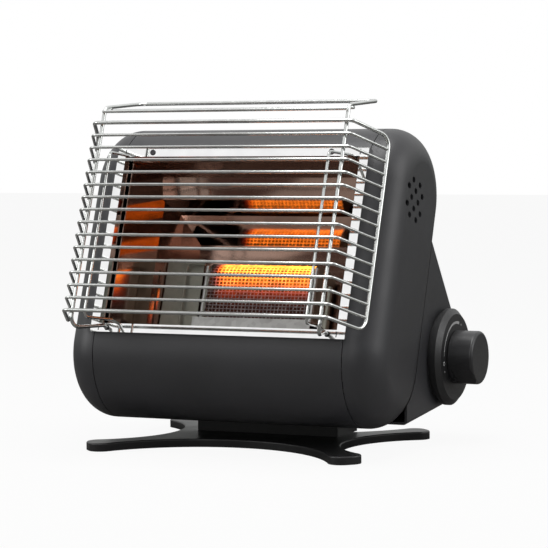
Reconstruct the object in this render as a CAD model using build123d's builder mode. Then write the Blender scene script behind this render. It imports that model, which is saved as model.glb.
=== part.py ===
"""Portable cassette-gas radiant heater: a leaning drum-ended case with a wire guard, a reflector and a
ceramic burner behind a bright window frame, a gas canister chamber at the back and a cross-shaped stand.

Frame: +X to the viewer's right, +Y to the back, +Z up. Origin: on the surface that the heater stands on,
below the middle of the stand. Lengths in millimetres.
"""
from build123d import *
from math import acos, atan2, cos, degrees, hypot, radians, sin
import os

os.makedirs("parts", exist_ok=True)

# ---- stance of the case ------------------------------------------------------------------------
lean = 20.3                 # backward lean of the case, degrees
axis_y = -29.4              # axis of the lower rounded end of the case
axis_z = 72.0
out = Vector(0, -cos(radians(lean)), sin(radians(lean)))   # square to the window, towards the user
up = Vector(0, sin(radians(lean)), cos(radians(lean)))     # up along the window


def at(x, s, d):
    """A point x to the right, s up the case from the lower axis and d in front of its middle plane."""
    return Vector(x, axis_y, axis_z) + up * s + out * d


def face(d):
    """Plane square to the lean, d in front of the middle plane; local x is right, local y is up."""
    return Plane(origin=at(0, 0, d), x_dir=(1, 0, 0), z_dir=out)


def side(x):
    """Plane across the case at x; local x is backward, local y is up along the case."""
    return Plane(origin=at(x, 0, 0), x_dir=out * -1, z_dir=(1, 0, 0))


def floor_plane(s):
    """Plane across the case at height s along the lean; local x is right, local y is backward."""
    return Plane(origin=at(0, s, 0), x_dir=(1, 0, 0), z_dir=up)


# ---- case --------------------------------------------------------------------------------------
case_half = 130.0           # half width over the side covers
case_r = 51.0               # radius of the rounded top and bottom, half the depth of the case
case_rise = 129.0           # from the lower to the upper axis
cover_edge = 25.0           # rounding of the side covers
cover_wall = 2.0
sheet = 1.0                 # steel of the panels
cover_flat = 2.5            # straight part of a side cover next to its rounding
seam_x = case_half - cover_edge - cover_flat    # joint between the panels and the side covers
seam_gap = 0.6
panel_split = 20.0          # the front panel runs round the bottom to here
vent_pitch = 13.7           # staggered vent slots: step along a row, and half of it between rows
vent_rows = (2, 3, 2, 3, 2)
vent_long = 5.8
vent_high = 4.4
vent_drop = 7.8             # middle of the vent field below the upper axis
vent_mid_s = case_rise - vent_drop
vent_mid_d = 14.3

# ---- window ------------------------------------------------------------------------------------
frame_lap = 2.5             # the bright frame reaches this far over the side covers
frame_half = seam_x + frame_lap
frame_lo = 1.5              # its outer lower and upper edges
frame_above = 20.0
frame_hi = case_rise + frame_above
frame_strip = 6.8           # width of its strips
frame_t = 1.2
frame_proud = 3.2           # front of the frame in front of the case
frame_liner = 9.0           # depth of the inner return
frame_d = case_r + frame_proud
window_half = frame_half - frame_strip
window_lo = frame_lo + frame_strip
window_hi = frame_hi - frame_strip
corner_seam = 0.8           # the top and bottom strips fit between the side strips
hook_hole = 4.4             # holes in the bottom strip that the guard hooks into
hook_inset = 14.0           # in from the side of the frame
hook_x = frame_half - hook_inset
hook_s = frame_lo + frame_strip / 2
small_screw_inset = 30.0    # screws through the top strip into the top panel
small_screw_x = frame_half - small_screw_inset
small_screw_s = frame_hi - frame_strip / 2
small_screw_r = 1.2
small_head_r = 2.3
small_head_t = 0.8
small_screw_long = 8.5

# ---- reflector and burner ----------------------------------------------------------------------
mirror_t = 0.8
mirror_back = 34.0          # depth of the mirror behind the middle plane
mirror_folds = ((-7.4, 0.0), (-2.9, 17.0), (15.0, 24.3))    # folds behind its roof: depth, and drop below
mirror_low_drop = 43.2      # lowest fold, into the flat back
mirror_end_folds = ((8.6, 0.0), (18.6, 18.0))       # splayed ends: in from the side, and depth
mirror_end_back = 28.6
tray_s = 11.0               # top of the tray
tray_t = 1.0
burner_half = 44.0
burner_top = 79.0
burner_back = 32.6          # back of the burner, behind the middle plane
burner_wall = 1.0
foot_half = 50.0            # folded foot that the burner stands on
foot_hi = 31.0
foot_front = 4.0
mesh_front = 10.0           # face of the mesh, behind the middle plane
mesh_t = 0.6
mesh_hole = 2.6
mesh_pitch = 4.0
mesh_bend = 13.0            # radius over the top of the mesh
mesh_lap = 5.0              # length of the mesh on top of the burner
plaque_front = 18.0
plaque_t = 10.0
plaque_play = 0.2
body_front = 26.0
rod_r = 1.6
rod_hi = 74.0
probe_x = 62.0              # spark electrode on the left, flame probe on the right
probe_r = 2.9
probe_play = 0.4
electrode_hi = 24.0
pin_hi = 74.0
thermo_hi = 58.0
pin_tip = 0.8
bracket_plate_b = 9.0       # plate beside the burner that holds the electrode
bracket_inset = 16.0        # its side from the side of the mirror

# ---- canister chamber --------------------------------------------------------------------------
can_y = 67.4                # axis of the canister
can_z = 66.4
can_r = 34.0                # radius of a standard cassette canister
can_room = 4.0              # room and sheet round it
chamber_r = can_r + can_room
housing_wall = 2.0
housing_inset = 3.0         # ends of the housing inside the width of the case
housing_half = case_half - housing_inset
housing_edge = 3.0
slope_angle = 37.2          # direction that the sloping back faces, above level
cradle_t = 0.8
cradle_inset = 23.0
cradle_left = cradle_inset - housing_half
lid_inset = 15.0            # ends of the lid inside the housing
lid_half = housing_half - lid_inset
lid_gap = 0.6
lid_rise = 14.0             # hinge above the start of the slope
lid_low_angle = -75.0
hinge_r = 3.0
pin_r = 1.5
pin_play = 0.05
knuckle_gap = 0.4
hinge_inset = 34.0
hinge_mid = lid_half - hinge_inset      # middle of each lid knuckle
hinge_long = 16.0
hinge_side = 9.0            # length of the housing knuckles beside it

# ---- control end -------------------------------------------------------------------------------
bezel_neck_r = 35.0
bezel_neck = 3.0            # lengths of the neck, the rim and the sloping face
bezel_rim = 3.6
bezel_slope = 3.6
bezel_neck_end = housing_half + bezel_neck
bezel_r = 37.6
bezel_step = bezel_neck_end + bezel_rim
bezel_face = bezel_step + bezel_slope
bezel_face_r = 33.4
bezel_wall = 2.0
knob_r = 20.7
knob_gap = 0.6
knob_long = 19.8
knob_back = bezel_face + knob_gap
knob_face = knob_back + knob_long
knob_flat = 1.6
valve_inset = 11.0          # valve body inside the end of the housing
valve_long = 26.0
valve_right = housing_half - valve_inset
valve_left = valve_right - valve_long
valve_r = 16.0
spindle_r = 3.0
spindle_play = 0.1
magnet_in = 9.0
magnet_out = 20.0
magnet_t = 6.0
notch_wide = 5.0            # guide notch for the collar of the canister
notch_deep = 6.0
cradle_right = valve_left - magnet_t

# ---- stand -------------------------------------------------------------------------------------
stand_hi = 7.0
stand_clear = 0.6           # rim above the table
stand_wall = 2.0
stand_reach_x = 120.0       # outer corners of the leg ends
stand_reach_y = 68.0
stand_toe_x = 97.0
stand_toe_y = 91.0
stand_waist_x = 74.0
stand_waist_y = 27.0
pad_r = 7.0
pad_inset = 22.0
pad_x = stand_reach_x - pad_inset
pad_y = stand_toe_y - pad_inset
bracket_half = 60.0
bracket_front = 12.6
bracket_back = 52.0
bracket_wall = 2.0
screw_r = 2.0
screw_head_r = 3.6
screw_head_t = 2.2
screw_play = 0.1
screw_long = 6.0

# ---- guard -------------------------------------------------------------------------------------
guard_ahead = 40.8          # middle of the cross bars in front of the frame
guard_d = frame_d + guard_ahead
bar_r = 1.15
hoop_r = 1.45
bar_count = 16              # with the top and bottom of the rim
bar_above = 6.2             # top of the rim above the frame
bar_low = 5.2               # bottom of the rim above the lower edge of the frame
bar_top = frame_hi + bar_above
bar_pitch = (bar_top - frame_lo - bar_low) / (bar_count - 1)
rim_inset = 8.0
rim_side = 15.3             # width of the slanting side of the rim
rim_x = case_half - rim_inset
bar_bend_x = rim_x - rim_side
rim_ahead = 4.3
rim_d = frame_d + rim_ahead
rim_corner = 9.0
hoop_inset = 4.0
hoop_x = frame_half - hoop_inset
hoop_low_s = -6.0
roof_above = 13.2           # bend of the roof above the rim
roof_s = bar_top + roof_above
roof_deep = 57.0
roof_rise = 3.0
inner_inset = 10.7
inner_x = hoop_x - inner_inset
inner_drop = 16.7
inner_top_s = frame_hi - inner_drop
inner_top_in = 11.2         # ends of the uprights under and on the liner, in from the side of the frame
inner_low_in = 20.5
inner_top_x = frame_half - inner_top_in
inner_low_x = frame_half - inner_low_in

# ================================================================================================
# Case envelope: the closed outer shape that the panels and covers share, with a small clearance
# ================================================================================================


def stadium(radius, mode=Mode.ADD):
    """The side profile of the case, in a sketch on side()."""
    with Locations((0, case_rise / 2)):
        SlotCenterToCenter(case_rise, 2 * radius, rotation=90, mode=mode)


with BuildPart() as envelope:
    with BuildSketch(side(-case_half - seam_gap)):
        stadium(case_r + seam_gap)
    extrude(amount=2 * (case_half + seam_gap))
    fillet(envelope.faces().filter_by(Plane.YZ).edges(), cover_edge + seam_gap)

# ---- panels of the case ------------------------------------------------------------------------
beyond = case_r + 10

with BuildPart() as front_panel:
    with BuildSketch(side(-seam_x)):
        stadium(case_r)
        stadium(case_r - sheet, Mode.SUBTRACT)
        with Locations((panel_split, window_lo - frame_t - seam_gap)):
            Rectangle(2 * beyond, 2 * beyond, align=(Align.MAX, Align.MAX), mode=Mode.INTERSECT)
    extrude(amount=2 * seam_x)
front_panel.part.label = "front_panel"
export_step(front_panel.part, "parts/front_panel.step")

# The top panel laps inside the rear panel, where the screws hold both
screw_inset = 12.5
screw_x = [(seam_x - screw_inset) * share for share in (-1, -1 / 3, 1 / 3, 1)]
lap = 15.0
screw_s = case_rise - lap / 2

with BuildPart() as top_panel:
    with BuildSketch(side(-seam_x)):
        stadium(case_r)
        stadium(case_r - sheet, Mode.SUBTRACT)
        with Locations((0, case_rise)):
            Rectangle(2 * beyond, 2 * beyond, align=(Align.CENTER, Align.MIN), mode=Mode.INTERSECT)
        with Locations((0, window_hi + frame_t + seam_gap)):
            Rectangle(2 * beyond, 2 * beyond, align=(Align.MAX, Align.MAX), mode=Mode.SUBTRACT)
        with Locations((case_r - sheet, case_rise + lap)):
            Rectangle(sheet, 2 * lap, align=(Align.MAX, Align.MAX))
    extrude(amount=2 * seam_x)
    with BuildSketch(face(0)):
        with Locations(*[(x, screw_s) for x in screw_x]):
            Circle(screw_r + screw_play)
    extrude(amount=-2 * case_r, mode=Mode.SUBTRACT)
    with BuildSketch(face(0)):
        with Locations((-small_screw_x, small_screw_s), (small_screw_x, small_screw_s)):
            Circle(small_screw_r + screw_play)
    extrude(amount=case_r, mode=Mode.SUBTRACT)
top_panel.part.label = "top_panel"
export_step(top_panel.part, "parts/top_panel.step")

# ---- gas route through the back of the case ------------------------------------------------------
mix_s = -6.0                # mixing tube below the tray
mix_b = 17.0
mix_r = 7.0
mix_wall = 1.0
pipe_inset = 4.5
pipe_x = seam_x - pipe_inset
pipe_r = 2.5
pipe_play = 1.0
lead_aside = 9.5            # leads beside the gas pipe
lead_x = pipe_x - lead_aside
lead_r = 1.5
lead_drop = 9.0             # probe lead below the ignition lead
grommet_r = 3.4
plate_half = 35.0           # aluminium plate that carries heat to the canister
plate_t = 3.0
plate_play = 0.5
route = at(pipe_x, mix_s, -mix_b)
can_axis = Vector(0, can_y, can_z)
can_s = (can_axis - at(0, 0, 0)).dot(up)

with BuildPart() as rear_panel:
    with BuildSketch(side(-seam_x)):
        stadium(case_r)
        stadium(case_r - sheet, Mode.SUBTRACT)
        with Locations((panel_split + seam_gap, case_rise - seam_gap)):
            Rectangle(2 * beyond, 3 * beyond + case_rise, align=(Align.MIN, Align.MAX), mode=Mode.INTERSECT)
    extrude(amount=2 * seam_x)
    with BuildSketch(Plane(origin=(0, 0, route.Z), x_dir=(1, 0, 0), z_dir=(0, -1, 0))):
        with Locations((pipe_x, 0)):
            Circle(pipe_r + pipe_play)
        with Locations((lead_x, 0), (lead_x, -lead_drop)):
            Circle(grommet_r)
    extrude(amount=-case_r, mode=Mode.SUBTRACT)
    with BuildSketch(face(0)):
        with Locations((0, can_s)):
            Rectangle(2 * (plate_half + plate_play), plate_t + 2 * plate_play)
        with Locations(*[(x, screw_s) for x in screw_x]):
            Circle(screw_r + screw_play)
    extrude(amount=-2 * case_r, mode=Mode.SUBTRACT)
rear_panel.part.label = "rear_panel"
export_step(rear_panel.part, "parts/rear_panel.step")

with BuildPart() as case_screws:
    with BuildSketch(face(-case_r)):
        with Locations(*[(x, screw_s) for x in screw_x]):
            Circle(screw_r)
    extrude(amount=screw_long)
    with BuildSketch(face(-case_r)):
        with Locations(*[(x, screw_s) for x in screw_x]):
            Circle(screw_head_r)
    extrude(amount=-screw_head_t)
    fillet(case_screws.faces().sort_by(Axis((0, 0, 0), tuple(out)))[:len(screw_x)].edges(), 1.2)
case_screws.part.label = "case_screws"
export_step(case_screws.part, "parts/case_screws.step")


def side_cover(sign):
    """One rounded end of the case, open towards the middle, with its field of vents."""
    with BuildPart() as cover:
        with BuildSketch(side(sign * (seam_x + seam_gap))):
            stadium(case_r)
        extrude(amount=sign * (case_half - seam_x - seam_gap))
        end = cover.faces().filter_by(Plane.YZ).sort_by(Axis.X)[-1 if sign > 0 else 0]
        fillet(end.edges(), cover_edge)
        inner = cover.faces().filter_by(Plane.YZ).sort_by(Axis.X)[0 if sign > 0 else -1]
        offset(amount=-cover_wall, openings=inner)
        with BuildSketch(side(sign * (case_half - 2 * cover_wall))):
            for row, count in enumerate(vent_rows):
                s = vent_mid_s + (2 - row) * vent_pitch / 2
                with Locations((-vent_mid_d, s)):
                    with GridLocations(vent_pitch, 1, count, 1):
                        SlotOverall(vent_long, vent_high)
        extrude(amount=sign * 3 * cover_wall, mode=Mode.SUBTRACT)
    return cover.part


side_cover_right = side_cover(1)
side_cover_right.label = "side_cover_right"
export_step(side_cover_right, "parts/side_cover_right.step")

side_cover_left = side_cover(-1)
side_cover_left.label = "side_cover_left"
export_step(side_cover_left, "parts/side_cover_left.step")

# ---- bright window frame -------------------------------------------------------------------------
frame_mid = (frame_lo + frame_hi) / 2
frame_high = frame_hi - frame_lo

with BuildPart() as window_frame:
    with BuildSketch(face(frame_d - frame_t)):      # outer skirt down to the case
        with Locations((0, frame_mid)):
            Rectangle(2 * frame_half, frame_high)
            Rectangle(2 * (frame_half - frame_t), frame_high - 2 * frame_t, mode=Mode.SUBTRACT)
    extrude(amount=-frame_liner)
    with BuildSketch(side(-frame_half)):
        stadium(case_r)
    extrude(amount=2 * frame_half, mode=Mode.SUBTRACT)
    with BuildSketch(face(frame_d - frame_t)):      # flat strips, with holes for the guard and screws
        with Locations((0, frame_mid)):
            Rectangle(2 * frame_half, frame_high)
            Rectangle(2 * window_half, frame_high - 2 * frame_strip, mode=Mode.SUBTRACT)
        with Locations((-hook_x, hook_s), (hook_x, hook_s)):
            Circle(hook_hole / 2, mode=Mode.SUBTRACT)
        with Locations((-small_screw_x, small_screw_s), (small_screw_x, small_screw_s)):
            Circle(small_screw_r + screw_play, mode=Mode.SUBTRACT)
        with Locations(*[(x, s) for x in (-window_half, window_half) for s in (hook_s, small_screw_s)]):
            Rectangle(corner_seam, frame_strip - 2 * frame_t, mode=Mode.SUBTRACT)
    extrude(amount=frame_t)
    with BuildSketch(face(frame_d - frame_t)):      # inner liner of the window
        with Locations((0, frame_mid)):
            Rectangle(2 * (window_half + frame_t), frame_high - 2 * (frame_strip - frame_t))
            Rectangle(2 * window_half, frame_high - 2 * frame_strip, mode=Mode.SUBTRACT)
    extrude(amount=-frame_liner)
window_frame.part.label = "window_frame"
export_step(window_frame.part, "parts/window_frame.step")

with BuildPart() as frame_screws:
    with BuildSketch(face(frame_d)):
        with Locations((-small_screw_x, small_screw_s), (small_screw_x, small_screw_s)):
            Circle(small_screw_r)
    extrude(amount=-small_screw_long)
    with BuildSketch(face(frame_d)):
        with Locations((-small_screw_x, small_screw_s), (small_screw_x, small_screw_s)):
            Circle(small_head_r)
    extrude(amount=small_head_t)
    fillet(frame_screws.faces().sort_by(Axis((0, 0, 0), tuple(out)))[-2:].edges(), small_head_t / 2)
frame_screws.part.label = "frame_screws"
export_step(frame_screws.part, "parts/frame_screws.step")

# ---- reflector -----------------------------------------------------------------------------------
mirror_half = window_half - 2 * mirror_t
mirror_top = window_hi - 1
mirror_front = -(frame_d - frame_t - frame_liner)
mirror_seam = 0.1


def mirror_profile(mode=Mode.ADD):
    """The space in front of the mirror: flat roof, facets and flat back, in a sketch on side()."""
    with BuildLine() as outline:
        Polyline((mirror_front, tray_s), (mirror_front, mirror_top),
                 *((b, mirror_top - drop) for b, drop in mirror_folds),
                 (mirror_back, mirror_top - mirror_low_drop), (mirror_back, tray_s), close=True)
    make_face(outline.edges(), mode=mode)


with BuildPart() as reflector:
    with BuildSketch(side(-mirror_half)):
        mirror_profile()
        offset(amount=mirror_t, kind=Kind.INTERSECTION)
        mirror_profile(Mode.SUBTRACT)
        with Locations((mirror_front, tray_s)):
            Rectangle(2 * beyond, 2 * beyond + case_rise, align=(Align.MIN, Align.MIN), mode=Mode.INTERSECT)
    extrude(amount=2 * mirror_half)
reflector.part.label = "reflector"
export_step(reflector.part, "parts/reflector.step")

end_run = [(mirror_half, mirror_front), *((mirror_half - inset, b) for inset, b in mirror_end_folds),
           (mirror_half - mirror_end_back, mirror_back)]

with BuildPart() as reflector_ends:
    for sign in (-1, 1):
        with BuildSketch(floor_plane(tray_s)):
            with BuildLine():
                Polyline(*((sign * x, b) for x, b in end_run),
                         *((sign * (x - mirror_t), b) for x, b in reversed(end_run)), close=True)
            make_face()
        extrude(amount=mirror_top - tray_s)
    with BuildSketch(side(-mirror_half)):
        mirror_profile()
        offset(amount=-mirror_seam, kind=Kind.INTERSECTION)
    extrude(amount=2 * mirror_half, mode=Mode.INTERSECT)
reflector_ends.part.label = "reflector_ends"
export_step(reflector_ends.part, "parts/reflector_ends.step")

# Steel shield between the hot mirror and the back of the case, flanged to the rear panel
shield_b = 41.0
shield_lo = 15.0
shield_hi = case_rise - lap - 2
case_inner = case_r - sheet

with BuildPart() as heat_shield:
    with BuildSketch(side(-mirror_half)):
        with Locations((shield_b, shield_lo)):
            Rectangle(case_inner - shield_b, shield_hi - shield_lo, align=(Align.MIN, Align.MIN))
        with Locations((shield_b + mirror_t, shield_lo + mirror_t)):
            Rectangle(case_inner - shield_b, shield_hi - shield_lo - 2 * mirror_t,
                      align=(Align.MIN, Align.MIN), mode=Mode.SUBTRACT)
    extrude(amount=2 * mirror_half)
heat_shield.part.label = "heat_shield"
export_step(heat_shield.part, "parts/heat_shield.step")

# ---- burner --------------------------------------------------------------------------------------
probe_b = bracket_plate_b - probe_r

with BuildPart() as burner_tray:
    with BuildSketch(floor_plane(tray_s - tray_t)):
        with Locations((0, (mirror_front + mirror_back) / 2)):
            Rectangle(2 * mirror_half, mirror_back - mirror_front)
        with Locations((0, mix_b)):
            Circle(mix_r - mix_wall, mode=Mode.SUBTRACT)
        with Locations((-probe_x, probe_b), (probe_x, probe_b)):
            Circle(probe_r + probe_play, mode=Mode.SUBTRACT)
    extrude(amount=tray_t)
burner_tray.part.label = "burner_tray"
export_step(burner_tray.part, "parts/burner_tray.step")

gas_slot_b = (body_front + burner_back) / 2         # slot through which the mixture enters the burner
gas_slot_deep = burner_back - body_front - 2 * burner_wall

with BuildPart() as burner_foot:
    with BuildSketch(side(-foot_half)):
        with Locations((foot_front, tray_s)):
            Rectangle(burner_back - foot_front, foot_hi - tray_s, align=(Align.MIN, Align.MIN))
        with Locations((foot_front + burner_wall, tray_s)):
            Rectangle(burner_back - foot_front - 2 * burner_wall, foot_hi - tray_s - burner_wall,
                      align=(Align.MIN, Align.MIN), mode=Mode.SUBTRACT)
    extrude(amount=2 * foot_half)
    with BuildSketch(floor_plane(foot_hi - burner_wall)):
        with Locations((0, gas_slot_b)):
            Rectangle(burner_half, gas_slot_deep)
    extrude(amount=burner_wall, mode=Mode.SUBTRACT)
burner_foot.part.label = "burner_foot"
export_step(burner_foot.part, "parts/burner_foot.step")

with BuildPart() as burner_body:
    with BuildSketch(side(-burner_half)):
        with Locations((body_front, foot_hi)):
            Rectangle(burner_back - body_front, burner_top - mesh_t - foot_hi, align=(Align.MIN, Align.MIN))
    extrude(amount=2 * burner_half)
    offset(amount=-burner_wall, openings=burner_body.faces().sort_by(Axis((0, 0, 0), tuple(out)))[-1])
    with BuildSketch(floor_plane(foot_hi)):
        with Locations((0, gas_slot_b)):
            Rectangle(burner_half, gas_slot_deep)
    extrude(amount=burner_wall, mode=Mode.SUBTRACT)
burner_body.part.label = "burner_body"
export_step(burner_body.part, "parts/burner_body.step")

plaque_lo = foot_hi + burner_wall + plaque_play
plaque_hi = burner_top - mesh_t - burner_wall - plaque_play
plaque_half = burner_half - burner_wall - plaque_play

with BuildPart() as burner_plaque:
    with BuildSketch(side(-plaque_half)):
        with Locations((plaque_front, plaque_lo)):
            Rectangle(plaque_t, plaque_hi - plaque_lo, align=(Align.MIN, Align.MIN))
    extrude(amount=2 * plaque_half)
burner_plaque.part.label = "burner_plaque"
export_step(burner_plaque.part, "parts/burner_plaque.step")

bend_s = burner_top - mesh_bend
bend_b = mesh_front + mesh_bend
mesh_columns = int(2 * burner_half / mesh_pitch) - 1
mesh_rows = int((bend_s - foot_hi) / mesh_pitch)

with BuildPart() as burner_mesh:
    with BuildSketch(side(-burner_half)):
        with BuildLine():
            Line((mesh_front, foot_hi), (mesh_front, bend_s))
            CenterArc((bend_b, bend_s), mesh_bend, 90, 90)
            Polyline((bend_b, burner_top), (body_front + mesh_lap, burner_top),
                     (body_front + mesh_lap, burner_top - mesh_t), (bend_b, burner_top - mesh_t))
            CenterArc((bend_b, bend_s), mesh_bend - mesh_t, 90, 90)
            Polyline((mesh_front + mesh_t, bend_s), (mesh_front + mesh_t, foot_hi), (mesh_front, foot_hi))
        make_face()
    extrude(amount=2 * burner_half)
    with BuildSketch(face(-mesh_front)):
        with Locations((0, (foot_hi + bend_s) / 2)):
            with GridLocations(mesh_pitch, mesh_pitch, mesh_columns, mesh_rows):
                Rectangle(mesh_hole, mesh_hole)
    extrude(amount=-2 * mesh_t, mode=Mode.SUBTRACT)
burner_mesh.part.label = "burner_mesh"
export_step(burner_mesh.part, "parts/burner_mesh.step")

with BuildPart() as burner_ends:
    for x in (-burner_half - burner_wall, burner_half):
        with BuildSketch(side(x)):
            with BuildLine():
                Line((mesh_front, foot_hi), (mesh_front, bend_s))
                CenterArc((bend_b, bend_s), mesh_bend, 90, 90)
                Polyline((bend_b, burner_top), (burner_back, burner_top), (burner_back, foot_hi),
                         (mesh_front, foot_hi))
            make_face()
        extrude(amount=burner_wall)
burner_ends.part.label = "burner_ends"
export_step(burner_ends.part, "parts/burner_ends.step")

rod_x = burner_half + burner_wall + rod_r

with BuildPart() as burner_rods:
    with BuildSketch(floor_plane(foot_hi)):
        with Locations((-rod_x, mesh_front + rod_r), (rod_x, mesh_front + rod_r)):
            Circle(rod_r)
    extrude(amount=rod_hi - foot_hi)
burner_rods.part.label = "burner_rods"
export_step(burner_rods.part, "parts/burner_rods.step")

# ---- spark electrode and flame probe -------------------------------------------------------------
plate_in = rod_x + rod_r + seam_gap
bracket_plate_x = mirror_half - bracket_inset

with BuildPart() as electrode_bracket:
    with BuildSketch(face(-bracket_plate_b)):
        with BuildLine():
            Polyline((-bracket_plate_x, tray_s), (-foot_half - seam_gap, tray_s),
                     (-foot_half - seam_gap, foot_hi + 1), (-plate_in, foot_hi + 1),
                     (-plate_in, burner_top), (-bracket_plate_x, burner_top), close=True)
        make_face()
    extrude(amount=-burner_wall)
electrode_bracket.part.label = "electrode_bracket"
export_step(electrode_bracket.part, "parts/electrode_bracket.step")

probe_lo = tray_s - tray_t - probe_play

with BuildPart() as electrode_insulator:
    with BuildSketch(floor_plane(probe_lo)):
        with Locations((-probe_x, probe_b)):
            Circle(probe_r)
    extrude(amount=electrode_hi - probe_lo)
    chamfer(electrode_insulator.faces().sort_by(Axis((0, 0, 0), tuple(up)))[-1].edges(), 1)
electrode_insulator.part.label = "electrode_insulator"
export_step(electrode_insulator.part, "parts/electrode_insulator.step")


def wire(points, radius, corner):
    """A round wire along straight runs with rounded corners."""
    with BuildPart() as strand:
        with BuildLine() as run:
            FilletPolyline(*points, radius=corner)
        with BuildSketch(Plane(origin=run.line @ 0, z_dir=run.line % 0)):
            Circle(radius)
        sweep(path=run.line)
    return strand.part


spark_gap = 1.5
electrode_pin = wire(
    [at(-probe_x, electrode_hi, -probe_b), at(-probe_x, pin_hi, -probe_b),
     at(-burner_half - burner_wall - spark_gap, pin_hi, -probe_b)],
    pin_tip, 3)
electrode_pin.label = "electrode_pin"
export_step(electrode_pin, "parts/electrode_pin.step")

with BuildPart() as flame_probe:
    with BuildSketch(floor_plane(probe_lo)):
        with Locations((probe_x, probe_b)):
            Circle(probe_r)
    extrude(amount=foot_hi - probe_lo)
    with BuildSketch(floor_plane(foot_hi)):
        with Locations((probe_x, probe_b)):
            Circle(probe_r - 1)
    extrude(amount=thermo_hi - foot_hi)
    fillet(flame_probe.faces().sort_by(Axis((0, 0, 0), tuple(up)))[-1].edges(), 1)
flame_probe.part.label = "flame_probe"
export_step(flame_probe.part, "parts/flame_probe.step")

# ---- gas tube, nozzle, pipe and valve --------------------------------------------------------------
holder_long = 15.0
holder_right = pipe_x + holder_long / 3
holder_left = holder_right - holder_long
holder_r = 6.0
air_gap = 6.0               # air inlet between the mixing tube and the nozzle holder
nozzle_in = 2.0
mix_mouth = holder_left - air_gap
nozzle_tip = mix_mouth - nozzle_in
across_gas = Plane(origin=at(0, mix_s, -mix_b), x_dir=out * -1, z_dir=(1, 0, 0))

with BuildPart() as mixing_tube:
    with BuildLine() as mix_line:
        FilletPolyline(at(mix_mouth, mix_s, -mix_b), at(0, mix_s, -mix_b), at(0, tray_s - tray_t, -mix_b),
                       radius=mix_r + 1)
    with BuildSketch(Plane(origin=mix_line.line @ 0, z_dir=mix_line.line % 0)):
        Circle(mix_r)
        Circle(mix_r - mix_wall, mode=Mode.SUBTRACT)
    sweep(path=mix_line.line)
mixing_tube.part.label = "mixing_tube"
export_step(mixing_tube.part, "parts/mixing_tube.step")

with BuildPart() as nozzle:
    with BuildSketch(across_gas.offset(nozzle_tip)):
        Circle(1.2)
    with BuildSketch(across_gas.offset(holder_left)):
        Circle(3)
    loft()
nozzle.part.label = "nozzle"
export_step(nozzle.part, "parts/nozzle.step")

with BuildPart() as nozzle_holder:
    with BuildSketch(across_gas.offset(holder_left)):
        Circle(holder_r)
    extrude(amount=holder_right - holder_left)
    chamfer(nozzle_holder.edges().filter_by(GeomType.CIRCLE), 1)
nozzle_holder.part.label = "nozzle_holder"
export_step(nozzle_holder.part, "parts/nozzle_holder.step")


def across_can(x):
    """Plane across the canister axis at x; local x is backward, local y is up."""
    return Plane(origin=(x, can_y, can_z), x_dir=(0, 1, 0), z_dir=(1, 0, 0))


with BuildPart() as gas_valve:
    with BuildSketch(across_can(valve_left)):
        Circle(valve_r)
    extrude(amount=valve_right - valve_left)
    fillet(gas_valve.edges().filter_by(GeomType.CIRCLE), 2)
    with BuildSketch(across_can(valve_right)):
        Circle(2.5 * spindle_r)
    extrude(amount=housing_half - housing_wall - valve_right)
    with BuildSketch(across_can(valve_right + 2)):
        Circle(spindle_r + spindle_play)
    extrude(amount=housing_half - valve_right, mode=Mode.SUBTRACT)
gas_valve.part.label = "gas_valve"
export_step(gas_valve.part, "parts/gas_valve.step")

with BuildPart() as gas_pipe:
    with BuildSketch(Plane(origin=route, x_dir=(1, 0, 0), z_dir=(0, 1, 0))):
        Circle(pipe_r)
    extrude(amount=can_y - route.Y)
    add(gas_valve.part, mode=Mode.SUBTRACT)
    add(nozzle_holder.part, mode=Mode.SUBTRACT)
gas_pipe.part.label = "gas_pipe"
export_step(gas_pipe.part, "parts/gas_pipe.step")

igniter_inset = 11.0
igniter_x = valve_right - igniter_inset
igniter_half = 7.0
igniter_low = 14.0          # above the canister axis
igniter_high = 32.0

with BuildPart() as igniter:
    with BuildSketch(Plane(origin=(igniter_x, can_y, can_z + igniter_low))):
        Rectangle(2 * igniter_half, 2 * igniter_half)
    extrude(amount=igniter_high - igniter_low)
    chamfer(igniter.faces().sort_by(Axis.Z)[-1].edges(), 1)
    add(gas_valve.part, mode=Mode.SUBTRACT)
igniter.part.label = "igniter"
export_step(igniter.part, "parts/igniter.step")

with BuildPart() as can_magnet:
    with BuildSketch(across_can(valve_left - magnet_t)):
        Circle(magnet_out)
        Circle(magnet_in, mode=Mode.SUBTRACT)
        with Locations((0, magnet_out)):
            Rectangle(notch_wide, notch_deep, mode=Mode.SUBTRACT)
    extrude(amount=magnet_t)
can_magnet.part.label = "can_magnet"
export_step(can_magnet.part, "parts/can_magnet.step")

# ---- leads ---------------------------------------------------------------------------------------
lead_bend = 7.0
lead_low = route.Z - lead_drop
valve_lead_x = valve_left + 2 * lead_r
lead_clear = 0.3
igniter_lead_up = 24.0      # plug of the ignition lead above the canister axis
spark_out = 24.0            # ends of its runs in front of the canister axis
spark_turn = 32.0
probe_turn = 34.0
spark_in = 7.4              # ends of the runs through the grommets, inside the back of the case
probe_in = 11.4
case_back_y = axis_y + (case_r + (route.Z - axis_z) * sin(radians(lean))) / cos(radians(lean))
spark_lead_s = mix_s        # behind the mixing tube
spark_lead_b = 29.0
spark_step = 6.0
probe_lead_s = -22.0        # under the mixing tube
probe_lead_b = 30.0

with BuildPart() as grommets:
    with BuildSketch(Plane(origin=(0, 0, route.Z), x_dir=(1, 0, 0), z_dir=(0, -1, 0))):
        with Locations((lead_x, 0), (lead_x, -lead_drop)):
            Circle(grommet_r)
            Circle(lead_r, mode=Mode.SUBTRACT)
    extrude(amount=-case_r)
    with BuildSketch(side(-seam_x)):
        stadium(case_r + sheet)
        stadium(case_inner - sheet, Mode.SUBTRACT)
    extrude(amount=2 * seam_x, mode=Mode.INTERSECT)
grommets.part.label = "grommets"
export_step(grommets.part, "parts/grommets.step")

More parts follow.
